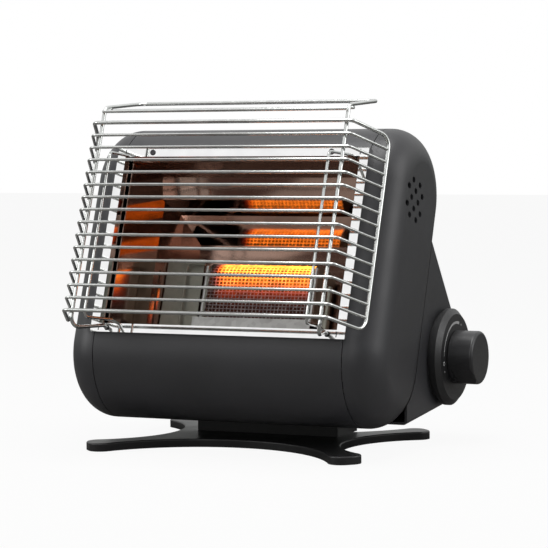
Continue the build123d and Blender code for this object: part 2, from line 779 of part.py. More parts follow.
spark_lead = wire(
    [Vector(igniter_x, can_y - igniter_half, can_z + igniter_lead_up),
     Vector(igniter_x, can_y - spark_out, can_z + igniter_lead_up),
     Vector(lead_x, can_y - spark_turn, route.Z), Vector(lead_x, case_back_y - spark_in, route.Z),
     at(lead_x - spark_step, spark_lead_s, -spark_lead_b), at(-probe_x, spark_lead_s, -spark_lead_b),
     at(-probe_x, spark_lead_s, -probe_b), at(-probe_x, probe_lo, -probe_b)],
    lead_r, lead_bend)
spark_lead.label = "spark_lead"
export_step(spark_lead, "parts/spark_lead.step")

valve_front = can_y - (valve_r ** 2 - (can_z - lead_low) ** 2) ** 0.5
probe_lead = wire(
    [Vector(valve_lead_x, valve_front - lead_r - lead_clear, lead_low),
     Vector(lead_x, can_y - probe_turn, lead_low), Vector(lead_x, case_back_y - probe_in, lead_low),
     at(probe_x, probe_lead_s, -probe_lead_b), at(probe_x, probe_lead_s, -probe_b),
     at(probe_x, probe_lo, -probe_b)],
    lead_r, lead_bend)
probe_lead.label = "probe_lead"
export_step(probe_lead, "parts/probe_lead.step")

# ---- housing of the canister -----------------------------------------------------------------------
slope_out = Vector(0, cos(radians(slope_angle)), sin(radians(slope_angle)))
slope_up = Vector(0, -slope_out.Z, slope_out.Y)
reach_y = can_y - axis_y
reach_z = can_z - axis_z
belly_turn = acos((case_r - chamber_r) / hypot(reach_y, reach_z))
belly_angle = degrees(atan2(reach_z, reach_y) - belly_turn)     # way that the flat underside faces
belly_out = Vector(0, cos(radians(belly_angle)), sin(radians(belly_angle)))
belly_front = -12.0         # front edge of the underside
hinge_axis = can_axis + slope_out * (chamber_r - housing_wall / 2) + slope_up * lid_rise


def yz(point):
    """The Y and Z of a point, for a sketch on Plane.YZ."""
    return (point.Y, point.Z)


def polar(radius, angle):
    """A point round the canister axis; 0 degrees is backward and 90 is up."""
    return (can_y + radius * cos(radians(angle)), can_z + radius * sin(radians(angle)))


def housing_profile(wall):
    """Side profile of the housing on Plane.YZ, closed inside the case, smaller all round by wall."""
    slope_start = can_axis + slope_out * (chamber_r - wall)
    inside = case_r / 2
    back = out * -1
    climb = (inside - (slope_start - at(0, 0, 0)).dot(back)) / slope_up.dot(back)
    with BuildLine() as outline:
        CenterArc((can_y, can_z), chamber_r - wall, belly_angle, slope_angle - belly_angle)
        Polyline(yz(slope_start), yz(slope_start + slope_up * climb), (axis_y, axis_z),
                 yz(at(0, 0, 0) + belly_out * (case_r - wall)), polar(chamber_r - wall, belly_angle))
    make_face(outline.edges())


def chamber_skin(low, rise, spare=0.0):
    """The sheet round the back of the chamber, from the angle low to a rise up the slope."""
    outer = chamber_r + spare
    inner = chamber_r - housing_wall - spare
    outer_start = can_axis + slope_out * outer
    inner_start = can_axis + slope_out * inner
    with BuildLine() as outline:
        CenterArc((can_y, can_z), outer, low, slope_angle - low)
        CenterArc((can_y, can_z), inner, low, slope_angle - low)
        Line(polar(inner, low), polar(outer, low))
        Polyline(yz(outer_start), yz(outer_start + slope_up * rise), yz(inner_start + slope_up * rise),
                 yz(inner_start))
    make_face(outline.edges())


lid_knuckles = (-hinge_mid, hinge_mid)
knuckle_step = hinge_long / 2 + knuckle_gap + hinge_side / 2
housing_knuckles = [x + end * knuckle_step for x in lid_knuckles for end in (-1, 1)]
hinge_low = 0.4             # edge of the lid below the hinge axis
hinge_high = 1.8            # edge of the housing above it, clear of the turning lid
sweep_r = hinge_r + knuckle_gap

with BuildPart() as housing_block:
    with BuildSketch(Plane.YZ.offset(-housing_half)):
        housing_profile(0)
    extrude(amount=2 * housing_half)
    fillet(housing_block.faces().filter_by(Plane.YZ).edges(), housing_edge)

with BuildPart() as rear_housing:
    add(housing_block.part)
    with BuildSketch(Plane.YZ.offset(housing_wall - housing_half)):
        housing_profile(housing_wall)
    extrude(amount=2 * (housing_half - housing_wall), mode=Mode.SUBTRACT)
    add(envelope.part, mode=Mode.SUBTRACT)
    with BuildSketch(Plane.YZ.offset(-housing_half)):
        with Locations((belly_front, 0)):
            Rectangle(2 * case_r, axis_z, align=(Align.MAX, Align.MIN))
    extrude(amount=2 * housing_half, mode=Mode.SUBTRACT)
    with BuildSketch(Plane.YZ.offset(-lid_half - lid_gap)):
        chamber_skin(lid_low_angle - degrees(lid_gap / chamber_r), lid_rise + hinge_high, housing_edge)
    extrude(amount=2 * (lid_half + lid_gap), mode=Mode.SUBTRACT)
    for x in housing_knuckles:
        with BuildSketch(Plane.YZ.offset(x - hinge_side / 2)):
            with Locations(yz(hinge_axis)):
                Circle(hinge_r)
                with Locations(Location((0, 0), slope_angle)):
                    Rectangle(housing_wall, 2 * hinge_r, align=(Align.CENTER, Align.MIN))
        extrude(amount=hinge_side)
    for x in lid_knuckles:
        with BuildSketch(Plane.YZ.offset(x - hinge_long / 2 - knuckle_gap)):
            with Locations(yz(hinge_axis)):
                Circle(sweep_r)
        extrude(amount=hinge_long + 2 * knuckle_gap, mode=Mode.SUBTRACT)
    with BuildSketch(Plane.YZ.offset(-lid_half)):
        with Locations(yz(hinge_axis)):
            Circle(pin_r + pin_play)
    extrude(amount=2 * lid_half, mode=Mode.SUBTRACT)
    with BuildSketch(across_can(valve_right)):
        Circle(spindle_r + spindle_play)
    extrude(amount=housing_half, mode=Mode.SUBTRACT)
rear_housing.part.label = "rear_housing"
export_step(rear_housing.part, "parts/rear_housing.step")

tab_half = 15.0             # finger tab at the bottom of the lid
tab_out = 5.0

with BuildPart() as can_lid:
    with BuildSketch(Plane.YZ.offset(-lid_half)):
        chamber_skin(lid_low_angle, lid_rise - hinge_low)
    extrude(amount=2 * lid_half)
    with BuildSketch(Plane.YZ.offset(-tab_half)):
        with Locations(Location(polar(chamber_r - housing_wall, lid_low_angle), lid_low_angle)):
            Rectangle(housing_wall + tab_out, housing_wall, align=(Align.MIN, Align.MIN))
    extrude(amount=2 * tab_half)
    for x in housing_knuckles:
        with BuildSketch(Plane.YZ.offset(x - hinge_side / 2 - knuckle_gap)):
            with Locations(yz(hinge_axis)):
                Circle(sweep_r)
        extrude(amount=hinge_side + 2 * knuckle_gap, mode=Mode.SUBTRACT)
    for x in lid_knuckles:
        with BuildSketch(Plane.YZ.offset(x - hinge_long / 2)):
            with Locations(yz(hinge_axis)):
                Circle(hinge_r)
                with Locations(Location((0, 0), slope_angle)):
                    Rectangle(housing_wall, 2 * hinge_r, align=(Align.CENTER, Align.MAX))
        extrude(amount=hinge_long)
    with BuildSketch(Plane.YZ.offset(-lid_half)):
        with Locations(yz(hinge_axis)):
            Circle(pin_r + pin_play)
    extrude(amount=2 * lid_half, mode=Mode.SUBTRACT)
can_lid.part.label = "can_lid"
export_step(can_lid.part, "parts/can_lid.step")

pin_half = hinge_long / 2 + knuckle_gap + hinge_side

with BuildPart() as hinge_pins:
    for x in lid_knuckles:
        with BuildSketch(Plane.YZ.offset(x - pin_half)):
            with Locations(yz(hinge_axis)):
                Circle(pin_r)
        extrude(amount=2 * pin_half)
hinge_pins.part.label = "hinge_pins"
export_step(hinge_pins.part, "parts/hinge_pins.step")

cradle_r = chamber_r - housing_wall - 0.1
cradle_from = 110.0
cradle_to = 280.0

with BuildPart() as can_cradle:
    with BuildSketch(Plane.YZ.offset(cradle_left)):
        with BuildLine():
            CenterArc((can_y, can_z), cradle_r, cradle_from, cradle_to - cradle_from)
            CenterArc((can_y, can_z), cradle_r - cradle_t, cradle_from, cradle_to - cradle_from)
            Line(polar(cradle_r, cradle_from), polar(cradle_r - cradle_t, cradle_from))
            Line(polar(cradle_r, cradle_to), polar(cradle_r - cradle_t, cradle_to))
        make_face()
    extrude(amount=cradle_right - cradle_left)
can_cradle.part.label = "can_cradle"
export_step(can_cradle.part, "parts/can_cradle.step")

can_b = (can_axis - at(0, 0, 0)).dot(out * -1)

with BuildPart() as heat_plate:
    with BuildSketch(side(-plate_half)):
        with Locations((shield_b + mirror_t, can_s)):
            Rectangle(can_b - cradle_r - 0.1 - shield_b - mirror_t, plate_t, align=(Align.MIN, Align.CENTER))
    extrude(amount=2 * plate_half)
heat_plate.part.label = "heat_plate"
export_step(heat_plate.part, "parts/heat_plate.step")

# ---- control end ---------------------------------------------------------------------------------
with BuildPart() as end_bezel:
    with BuildSketch(Plane(origin=(0, can_y, can_z), x_dir=(1, 0, 0), z_dir=(0, -1, 0))):
        Polygon((housing_half, 0), (housing_half, bezel_neck_r), (bezel_neck_end, bezel_neck_r),
                (bezel_neck_end, bezel_r), (bezel_step, bezel_r), (bezel_face, bezel_face_r), (bezel_face, 0),
                align=None)
        Polygon((housing_half, 0), (housing_half, bezel_neck_r - bezel_wall),
                (bezel_step - bezel_wall / 2, bezel_neck_r - bezel_wall),
                (bezel_face - bezel_wall, bezel_face_r - bezel_wall), (bezel_face - bezel_wall, 0),
                align=None, mode=Mode.SUBTRACT)
    revolve(axis=Axis((0, can_y, can_z), (1, 0, 0)))
    with BuildSketch(across_can(housing_half)):
        Circle(spindle_r + spindle_play)
    extrude(amount=bezel_face, mode=Mode.SUBTRACT)
end_bezel.part.label = "end_bezel"
export_step(end_bezel.part, "parts/end_bezel.step")

spindle_left = valve_right + 2.3
spindle_right = knob_face - 6

with BuildPart() as valve_spindle:
    with BuildSketch(across_can(spindle_left)):
        Circle(spindle_r)
    extrude(amount=spindle_right - spindle_left)
valve_spindle.part.label = "valve_spindle"
export_step(valve_spindle.part, "parts/valve_spindle.step")

knob_fit = 0.02
knob_skirt = 3.0
grip_angle = 45.0

with BuildPart() as control_knob:
    with BuildSketch(across_can(knob_back)):
        Circle(knob_r)
    extrude(amount=knob_face - knob_back)
    fillet(control_knob.faces().sort_by(Axis.X)[-1].edges(), 2.5)
    with BuildSketch(across_can(knob_back + knob_skirt)):
        for turn in (grip_angle, grip_angle + 180):
            with Locations(Location((0, 0), turn)):
                with Locations((knob_r - knob_flat, 0)):
                    Rectangle(knob_r, 2 * knob_r, align=(Align.MIN, Align.CENTER))
    extrude(amount=knob_face, mode=Mode.SUBTRACT)
    with BuildSketch(across_can(knob_back)):
        Circle(spindle_r + knob_fit)
    extrude(amount=spindle_right - knob_back, mode=Mode.SUBTRACT)
control_knob.part.label = "control_knob"
export_step(control_knob.part, "parts/control_knob.step")

# Tip-over weight: it hangs on the neck of the valve and swings when the heater falls
weight_gap = 2.5
weight_left = valve_right + weight_gap
weight_t = 4.0
weight_bore = 2.5 * spindle_r + 0.15
weight_ring = 11.0
weight_drop = 22.0
weight_r = 8.0
weight_arm = 6.0

with BuildPart() as tip_weight:
    with BuildSketch(across_can(weight_left)):
        Circle(weight_ring)
        Rectangle(weight_arm, weight_drop, align=(Align.CENTER, Align.MAX))
        with Locations((0, -weight_drop)):
            Circle(weight_r)
        Circle(weight_bore, mode=Mode.SUBTRACT)
    extrude(amount=weight_t)
tip_weight.part.label = "tip_weight"
export_step(tip_weight.part, "parts/tip_weight.step")

# ---- stand ---------------------------------------------------------------------------------------
leg_corner = 10.0
base_screw_x = 50.0
base_screw_y = (18.0, 30.0)
base_screw_long = 6.0

with BuildPart() as base_stand:
    with BuildSketch(Plane.XY.offset(stand_clear)) as stand_outline:
        with BuildLine():
            for y_sign in (-1, 1):
                ThreePointArc((-stand_toe_x, y_sign * stand_toe_y), (0, y_sign * stand_waist_y),
                              (stand_toe_x, y_sign * stand_toe_y))
                for x_sign in (-1, 1):
                    Line((x_sign * stand_toe_x, y_sign * stand_toe_y),
                         (x_sign * stand_reach_x, y_sign * stand_reach_y))
            for x_sign in (-1, 1):
                ThreePointArc((x_sign * stand_reach_x, -stand_reach_y), (x_sign * stand_waist_x, 0),
                              (x_sign * stand_reach_x, stand_reach_y))
        make_face()
        fillet(stand_outline.vertices(), leg_corner)
    extrude(amount=stand_hi - stand_clear)
    offset(amount=-stand_wall, openings=base_stand.faces().sort_by(Axis.Z)[0])
    fillet(base_stand.faces().sort_by(Axis.Z)[-1].edges(), 1.2)
    with BuildSketch(Plane.XY.offset(stand_hi)):
        with Locations(*[(x, y) for x in (-base_screw_x, base_screw_x) for y in base_screw_y]):
            Circle(screw_r + screw_play)
    extrude(amount=-2 * stand_wall, mode=Mode.SUBTRACT)
base_stand.part.label = "base_stand"
export_step(base_stand.part, "parts/base_stand.step")

with BuildPart() as foot_pads:
    with BuildSketch(Plane.XY):
        with Locations(*[(x, y) for x in (-pad_x, pad_x) for y in (-pad_y, pad_y)]):
            Circle(pad_r)
    extrude(amount=stand_hi - stand_wall)
    chamfer(foot_pads.faces().sort_by(Axis.Z)[:4].edges(), 0.8)
foot_pads.part.label = "foot_pads"
export_step(foot_pads.part, "parts/foot_pads.step")

bracket_mid = (bracket_front + bracket_back) / 2
bracket_deep = bracket_back - bracket_front

with BuildPart() as base_bracket:
    with BuildSketch(Plane.XY.offset(stand_hi)):
        with Locations((0, bracket_mid)):
            Rectangle(2 * bracket_half, bracket_deep)
    extrude(amount=chamber_r)
    with BuildSketch(Plane.XY.offset(stand_hi + bracket_wall)):
        with Locations((0, bracket_mid)):
            Rectangle(2 * (bracket_half - bracket_wall), bracket_deep - 2 * bracket_wall)
    extrude(amount=chamber_r, mode=Mode.SUBTRACT)
    add(housing_block.part, mode=Mode.SUBTRACT)
    with BuildSketch(Plane.XY.offset(stand_hi)):
        with Locations(*[(x, y) for x in (-base_screw_x, base_screw_x) for y in base_screw_y]):
            Circle(screw_r + screw_play)
    extrude(amount=2 * bracket_wall, mode=Mode.SUBTRACT)
base_bracket.part.label = "base_bracket"
export_step(base_bracket.part, "parts/base_bracket.step")

with BuildPart() as base_screws:
    with BuildSketch(Plane.XY.offset(stand_hi - stand_wall)):
        with Locations(*[(x, y) for x in (-base_screw_x, base_screw_x) for y in base_screw_y]):
            Circle(screw_r)
    extrude(amount=base_screw_long)
    with BuildSketch(Plane.XY.offset(stand_hi - stand_wall)):
        with Locations(*[(x, y) for x in (-base_screw_x, base_screw_x) for y in base_screw_y]):
            Circle(screw_head_r)
    extrude(amount=-screw_head_t)
base_screws.part.label = "base_screws"
export_step(base_screws.part, "parts/base_screws.step")

# ---- wire guard ----------------------------------------------------------------------------------
weld_gap = 0.1
bar_bend_r = 5.0
hook_bend_r = 4.0
roof_bend_r = 7.0
hook_ahead = 6.0            # straight end of a hook in front of the frame
hook_deep = 1.3             # and behind its plate
hoop_d = guard_d - bar_r - hoop_r - weld_gap
rim_front_d = hoop_d + 2 * hoop_r + weld_gap
rim_bottom = bar_top - (bar_count - 1) * bar_pitch
rim_slant = hypot(rim_x - bar_bend_x, guard_d - rim_d)
bar_end_x = rim_x - (rim_x - bar_bend_x) * (hoop_r + weld_gap) / rim_slant
bar_end_d = rim_d + (guard_d - rim_d) * (hoop_r + weld_gap) / rim_slant
hook_end_d = frame_d - frame_t - hook_deep

guard_bars = []
for row in range(1, bar_count - 1):
    s = bar_top - row * bar_pitch
    guard_bars.append(wire(
        [at(-bar_end_x, s, bar_end_d), at(-bar_bend_x, s, guard_d), at(bar_bend_x, s, guard_d),
         at(bar_end_x, s, bar_end_d)], bar_r, bar_bend_r))
guard_bars = Compound(children=guard_bars)
guard_bars.label = "guard_bars"
export_step(guard_bars, "parts/guard_bars.step")

with BuildPart() as guard_rim:
    with BuildLine() as rim_line:
        FilletPolyline(
            at(bar_bend_x, bar_top, rim_front_d), at(rim_x, bar_top, rim_d), at(rim_x, rim_bottom, rim_d),
            at(bar_bend_x, rim_bottom, rim_front_d), at(-bar_bend_x, rim_bottom, rim_front_d),
            at(-rim_x, rim_bottom, rim_d), at(-rim_x, bar_top, rim_d),
            at(-bar_bend_x, bar_top, rim_front_d), close=True,
            radius=[bar_bend_r, rim_corner, rim_corner, bar_bend_r] * 2)
    with BuildSketch(Plane(origin=rim_line.line @ 0, z_dir=rim_line.line % 0)):
        Circle(hoop_r)
    sweep(path=rim_line.line)
guard_rim.part.label = "guard_rim"
export_step(guard_rim.part, "parts/guard_rim.step")

hoop_front = at(hoop_x, roof_s, hoop_d)
hoop_points = [
    at(hook_x, hook_s, hook_end_d), at(hook_x, hook_s, frame_d + hook_ahead),
    at(hoop_x, hoop_low_s, hoop_d), hoop_front,
    hoop_front + Vector(0, roof_deep, roof_rise)]
mirrored = [Vector(-p.X, p.Y, p.Z) for p in reversed(hoop_points)]
guard_hoop = wire(hoop_points + mirrored, hoop_r, [hook_bend_r] + [roof_bend_r] * 6 + [hook_bend_r])
guard_hoop.label = "guard_hoop"
export_step(guard_hoop, "parts/guard_hoop.step")

upright_d = guard_d - 2 * bar_r - weld_gap
weld_d = frame_d - frame_liner / 2      # ends of the uprights, welded to the liner of the window
weld_low_s = window_lo + bar_r + weld_gap
weld_top_s = window_hi - bar_r - weld_gap
guard_uprights = Compound(children=[
    wire([at(sign * inner_low_x, weld_low_s, weld_d),
          at(sign * inner_low_x, weld_low_s, frame_d + hook_ahead),
          at(sign * inner_x, rim_bottom - hook_bend_r, upright_d),
          at(sign * inner_x, inner_top_s, upright_d),
          at(sign * inner_top_x, weld_top_s, frame_d + hook_ahead),
          at(sign * inner_top_x, weld_top_s, weld_d)], bar_r, hook_bend_r)
    for sign in (-1, 1)])
guard_uprights.label = "guard_uprights"
export_step(guard_uprights, "parts/guard_uprights.step")

roof_wire_drop = 4.1        # first cross wire below the roof bend
roof_wire_s = roof_s - roof_wire_drop
roof_wire_back = 10.0       # second one behind it
roof_wire_rise = roof_rise * roof_wire_back / roof_deep

with BuildPart() as roof_wires:
    ahead = at(0, roof_wire_s, hoop_d + hoop_r + bar_r + weld_gap)
    under = Vector(0, hoop_front.Y + roof_wire_back,
                   hoop_front.Z + roof_wire_rise - hoop_r - bar_r - weld_gap)
    for middle in (ahead, under):
        with BuildSketch(Plane(origin=middle - Vector(hoop_x, 0, 0), z_dir=(1, 0, 0))):
            Circle(bar_r)
        extrude(amount=2 * hoop_x)
roof_wires.part.label = "roof_wires"
export_step(roof_wires.part, "parts/roof_wires.step")
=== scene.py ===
"""Looks of the cassette-gas radiant heater: finishes and detailed pieces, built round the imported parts."""

from math import cos, pi, radians, sin

import bmesh
import bpy
from mathutils import Matrix, Vector


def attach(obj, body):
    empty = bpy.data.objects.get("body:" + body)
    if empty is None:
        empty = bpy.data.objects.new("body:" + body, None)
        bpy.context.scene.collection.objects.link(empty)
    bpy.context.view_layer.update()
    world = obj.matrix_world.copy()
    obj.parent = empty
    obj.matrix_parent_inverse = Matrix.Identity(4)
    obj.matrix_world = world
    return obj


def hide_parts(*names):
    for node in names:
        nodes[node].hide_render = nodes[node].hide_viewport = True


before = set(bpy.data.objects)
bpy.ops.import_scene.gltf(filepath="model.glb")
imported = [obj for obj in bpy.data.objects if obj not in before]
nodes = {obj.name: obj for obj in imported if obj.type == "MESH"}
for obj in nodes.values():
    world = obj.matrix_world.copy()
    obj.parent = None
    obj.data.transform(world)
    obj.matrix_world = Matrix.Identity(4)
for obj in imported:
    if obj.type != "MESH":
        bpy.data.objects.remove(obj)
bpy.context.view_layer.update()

# ---- Camera --------------------------------------------------------------------------------------
# A long lens to the right of the heater, a little above its middle and rolled by half a degree.
AZIMUTH, ELEVATION, ROLL = radians(24.52), radians(3.68), radians(-0.56)
back = Vector((sin(AZIMUTH) * cos(ELEVATION), -cos(AZIMUTH) * cos(ELEVATION), sin(ELEVATION)))
level = Vector((cos(AZIMUTH), sin(AZIMUTH), 0))
right = level * cos(ROLL) + back.cross(level) * sin(ROLL)
camera = bpy.data.objects.new("camera", bpy.data.cameras.new("camera"))
camera.data.lens = 151.65
camera.data.sensor_width = 36
camera.data.clip_start = 0.1
camera.data.clip_end = 20
camera.matrix_world = Matrix((right, back.cross(right), back)).transposed().to_4x4()
camera.location = (0.7503, -1.6159, 0.2472)
bpy.context.scene.collection.objects.link(camera)
bpy.context.scene.camera = camera
bpy.context.scene.view_settings.view_transform = "Standard"


# ---- Floor and studio ----------------------------------------------------------------------------
# A pale sheet under the heater, white to the camera and darker in reflections, and a plain white room over
# it whose side behind the camera is unlit. A dark sheet seen only in reflections paints a dark reflection on
# the reflector's back.
WHITE = (1, 1, 1, 1)


def linear(code):
    """A colour written as sRGB hex, in linear light."""
    parts = [int(code[i:i + 2], 16) / 255 for i in (1, 3, 5)]
    return [c / 12.92 if c <= 0.04045 else ((c + 0.055) / 1.055) ** 2.4 for c in parts] + [1]


def add(tree, kind, inputs=None, **settings):
    """A node with its settings; an input is a value or the output that it is linked to."""
    made = tree.nodes.new(kind)
    for name, value in settings.items():
        setattr(made, name, value)
    for socket, value in (inputs or {}).items():
        if isinstance(value, bpy.types.NodeSocket):
            tree.links.new(value, made.inputs[socket])
        else:
            made.inputs[socket].default_value = value
    return made


def blank_material(name):
    """A new material and its empty tree."""
    made = bpy.data.materials.new(name)
    made.use_nodes = True
    made.node_tree.nodes.clear()
    return made, made.node_tree


def staged_sheet(name, corners, finish):
    """A flat sheet of the studio, which is no part of the heater."""
    mesh = bpy.data.meshes.new(name)
    mesh.from_pydata(corners, [], [(0, 1, 2, 3)])
    mesh.materials.append(finish)
    sheet = bpy.data.objects.new(name, mesh)
    bpy.context.scene.collection.objects.link(sheet)
    return sheet


FLOOR_HALF = 6.0
paper, tree = blank_material("white_paper_sweep")
seen = add(tree, "ShaderNodeLightPath").outputs
sheet_tone = add(tree, "ShaderNodeMix", {
    0: seen["Is Glossy Ray"], 6: linear("#d2d2d0"), 7: linear("#7c7a78")}, data_type="RGBA")
matt = add(tree, "ShaderNodeBsdfDiffuse", {"Color": sheet_tone.outputs[2]})
white = add(tree, "ShaderNodeEmission", {"Color": WHITE, "Strength": 1.0})
share = add(tree, "ShaderNodeMath", {0: seen["Is Camera Ray"], 1: 0.93}, operation="MULTIPLY")
both = add(tree, "ShaderNodeMixShader", {0: share.outputs[0], 1: matt.outputs[0], 2: white.outputs[0]})
add(tree, "ShaderNodeOutputMaterial", {"Surface": both.outputs[0]})
staged_sheet("floor", [(x * FLOOR_HALF, y * FLOOR_HALF, 0) for x, y in ((-1, -1), (1, -1), (1, 1), (-1, 1))],
             paper)

world = bpy.data.worlds.new("studio")
bpy.context.scene.world = world
world.use_nodes = True
tree = world.node_tree
tree.nodes.clear()
way = add(tree, "ShaderNodeTexCoord").outputs["Generated"]
path = add(tree, "ShaderNodeLightPath").outputs
height = add(tree, "ShaderNodeSeparateXYZ", {0: way})
rise = add(tree, "ShaderNodeMapRange", {"Value": height.outputs["Z"], "From Min": -0.15, "From Max": 0.42})
walls = add(tree, "ShaderNodeValToRGB", {"Fac": rise.outputs[0]})
walls.color_ramp.elements[0].color = linear("#5c5e5c")
walls.color_ramp.elements[1].color = WHITE
walls.color_ramp.elements.new(0.35).color = linear("#b0b3b0")
toward = add(tree, "ShaderNodeVectorMath", {0: way, 1: (0.40, -0.90, -0.16)}, operation="DOT_PRODUCT")
unlit = add(tree, "ShaderNodeMapRange", {
    "Value": toward.outputs["Value"], "From Min": 0.55, "From Max": 0.95}, interpolation_type="SMOOTHSTEP")
room = add(tree, "ShaderNodeMix", {
    0: unlit.outputs[0], 6: walls.outputs[0], 7: linear("#5a5a5c")}, data_type="RGBA")
mirrored = add(tree, "ShaderNodeBackground", {"Color": room.outputs[2], "Strength": 1.0})
soft = add(tree, "ShaderNodeBackground", {"Color": WHITE, "Strength": 0.28})
plain = add(tree, "ShaderNodeBackground", {"Color": WHITE, "Strength": 1.0})
fall = add(tree, "ShaderNodeMixShader", {
    0: path["Is Glossy Ray"], 1: soft.outputs[0], 2: mirrored.outputs[0]})
straight = add(tree, "ShaderNodeMath", {
    0: path["Is Camera Ray"], 1: path["Is Transmission Ray"]}, operation="MAXIMUM")
both = add(tree, "ShaderNodeMixShader", {0: straight.outputs[0], 1: fall.outputs[0], 2: plain.outputs[0]})
add(tree, "ShaderNodeOutputWorld", {"Surface": both.outputs[0]})

CARD_MIDDLE = Vector((-0.109, -0.197, 0.278))           # ahead of the window and up to its left
CARD_SIDE, CARD_UP = Vector((0.871, -0.112, 0.477)), Vector((-0.265, 0.672, 0.691))
CARD_LEFT, CARD_RIGHT, CARD_LOW, CARD_HIGH = -0.060, 0.075, -0.055, 0.030
# Painted reflection: a flat dark emission that only glossy rays see, standing in for a dark reflection.
dark_reflection_paint, tree = blank_material("painted_dark_reflection")
dull = add(tree, "ShaderNodeEmission", {"Color": linear("#62524e"), "Strength": 1.0})
add(tree, "ShaderNodeOutputMaterial", {"Surface": dull.outputs[0]})
card = staged_sheet("dark_reflection_sheet", [CARD_MIDDLE + CARD_SIDE * x + CARD_UP * y for x, y in (
    (CARD_LEFT, CARD_LOW), (CARD_RIGHT, CARD_LOW), (CARD_RIGHT, CARD_HIGH), (CARD_LEFT, CARD_HIGH))], dark_reflection_paint)
card.visible_camera = card.visible_diffuse = card.visible_shadow = card.visible_transmission = False

LAMPS = (("overhead", (0.0, -0.15, 1.4), 0.9, 13), ("right_hand", (1.4, 0.2, 0.8), 0.8, 6),
         ("left_hand", (-1.2, -0.9, 0.6), 0.7, 4), ("front", (0.2, -1.6, 0.8), 0.8, 3))
LAMP_AIM = Vector((0, 0, 0.12))
for name, place, size, power in LAMPS:          # place and size in metres, power in watts
    lamp = bpy.data.lights.new(name, "AREA")
    lamp.size = size
    lamp.energy = power
    holder = bpy.data.objects.new(name, lamp)
    holder.location = place
    holder.rotation_mode = "QUATERNION"
    holder.rotation_quaternion = (LAMP_AIM - Vector(place)).to_track_quat("-Z", "Y")
    bpy.context.scene.collection.objects.link(holder)


# ---- Case ------------------------------------------------------------------------------------------
# Steel panels and deep-drawn side covers, stove enamelled in charcoal after forming. Satin: the eye
# sees a slight orange peel and a soft, wide highlight along every rounding.
def new_finish(name):
    """An empty material, its tree and the place of each point of the piece."""
    made, tree = blank_material(name)
    return made, tree, add(tree, "ShaderNodeTexCoord").outputs["Object"]


def close_finish(tree, surface):
    add(tree, "ShaderNodeOutputMaterial", {"Surface": surface.outputs[0]})


def dress(finish, *names):
    """Gives CAD nodes their finish."""
    for name in names:
        nodes[name].data.materials.clear()
        nodes[name].data.materials.append(finish)


def wander(tree, place, per_metre, low, high, detail=2.0):
    """A number that wanders between low and high over the piece."""
    cloud = add(tree, "ShaderNodeTexNoise", {"Vector": place, "Scale": per_metre, "Detail": detail})
    return add(tree, "ShaderNodeMapRange", {"Value": cloud.outputs["Fac"], "From Min": 0.3, "From Max": 0.7,
                                            "To Min": low, "To Max": high}).outputs[0]


def shift(tree, factor, first, second):
    """A colour between two hex colours."""
    made = add(tree, "ShaderNodeValToRGB", {"Fac": factor})
    made.color_ramp.elements[0].color = linear(first)
    made.color_ramp.elements[1].color = linear(second)
    return made.outputs["Color"]


def relief(tree, height, depth, strength=1.0):
    """Surface relief of a real depth, in metres."""
    return add(tree, "ShaderNodeBump", {"Height": height, "Distance": depth, "Strength": strength}).outputs[0]


ENAMEL_PEEL = 1 / 0.0014        # orange peel, 1.4 mm from crest to crest


def enamel(name, low, high, rough):
    """Stoved enamel on steel: IOR of an alkyd coat, with its orange peel."""
    made, tree, place = new_finish(name)
    tone = shift(tree, wander(tree, place, 14, 0.0, 1.0), low, high)
    peel = add(tree, "ShaderNodeTexNoise", {"Vector": place, "Scale": ENAMEL_PEEL, "Detail": 1.0})
    coat = add(tree, "ShaderNodeBsdfPrincipled", {
        "Base Color": tone, "Roughness": wander(tree, place, 45, rough - 0.03, rough + 0.03), "IOR": 1.5,
        "Normal": relief(tree, peel.outputs["Fac"], 0.00003, 0.35)})
    close_finish(tree, coat)
    return made


charcoal_enamel = enamel("charcoal_stove_enamel", "#2b2b2d", "#303033", 0.42)
dress(charcoal_enamel, "front_panel", "top_panel", "rear_panel", "side_cover_left", "side_cover_right",
      "rear_housing", "can_lid")

# ---- Window frame ----------------------------------------------------------------------------------
# Bright plated steel pressing round the window, its strips meeting in dark seams at the corners and held by
# two small screws at the top. Reflects the room without blur.
made, tree, place = new_finish("bright_plated_pressing")
plate = add(tree, "ShaderNodeBsdfPrincipled", {
    "Base Color": shift(tree, wander(tree, place, 60, 0, 1), "#ececec", "#f4f4f4"), "Metallic": 1.0,
    "Roughness": wander(tree, place, 60, 0.03, 0.05)})
close_finish(tree, plate)
dress(made, "window_frame")

# ---- Reflector -------------------------------------------------------------------------------------
# Polished stainless sheet folded into facets behind the burner, with two splayed ends. The rolled sheet
# is very slightly wavy. Its straw-brown colour is darkened beyond the steel's own tint: painted reflection of
# the dark, warm interior.
made, tree, place = new_finish("polished_stainless_painted_dark_reflection")
wave = add(tree, "ShaderNodeTexNoise", {"Vector": place, "Scale": 30, "Detail": 0.0})
mirror = add(tree, "ShaderNodeBsdfPrincipled", {
    # Painted reflection: the base colour is darkened to stand in for the dark, warm interior seen in it.
    "Base Color": shift(tree, wander(tree, place, 12, 0, 1), "#967a6c", "#a2867a"), "Metallic": 1.0,
    "Roughness": wander(tree, place, 40, 0.07, 0.10),
    "Normal": relief(tree, wave.outputs["Fac"], 0.0004, 0.15)})
close_finish(tree, mirror)
dress(made, "reflector", "reflector_ends")

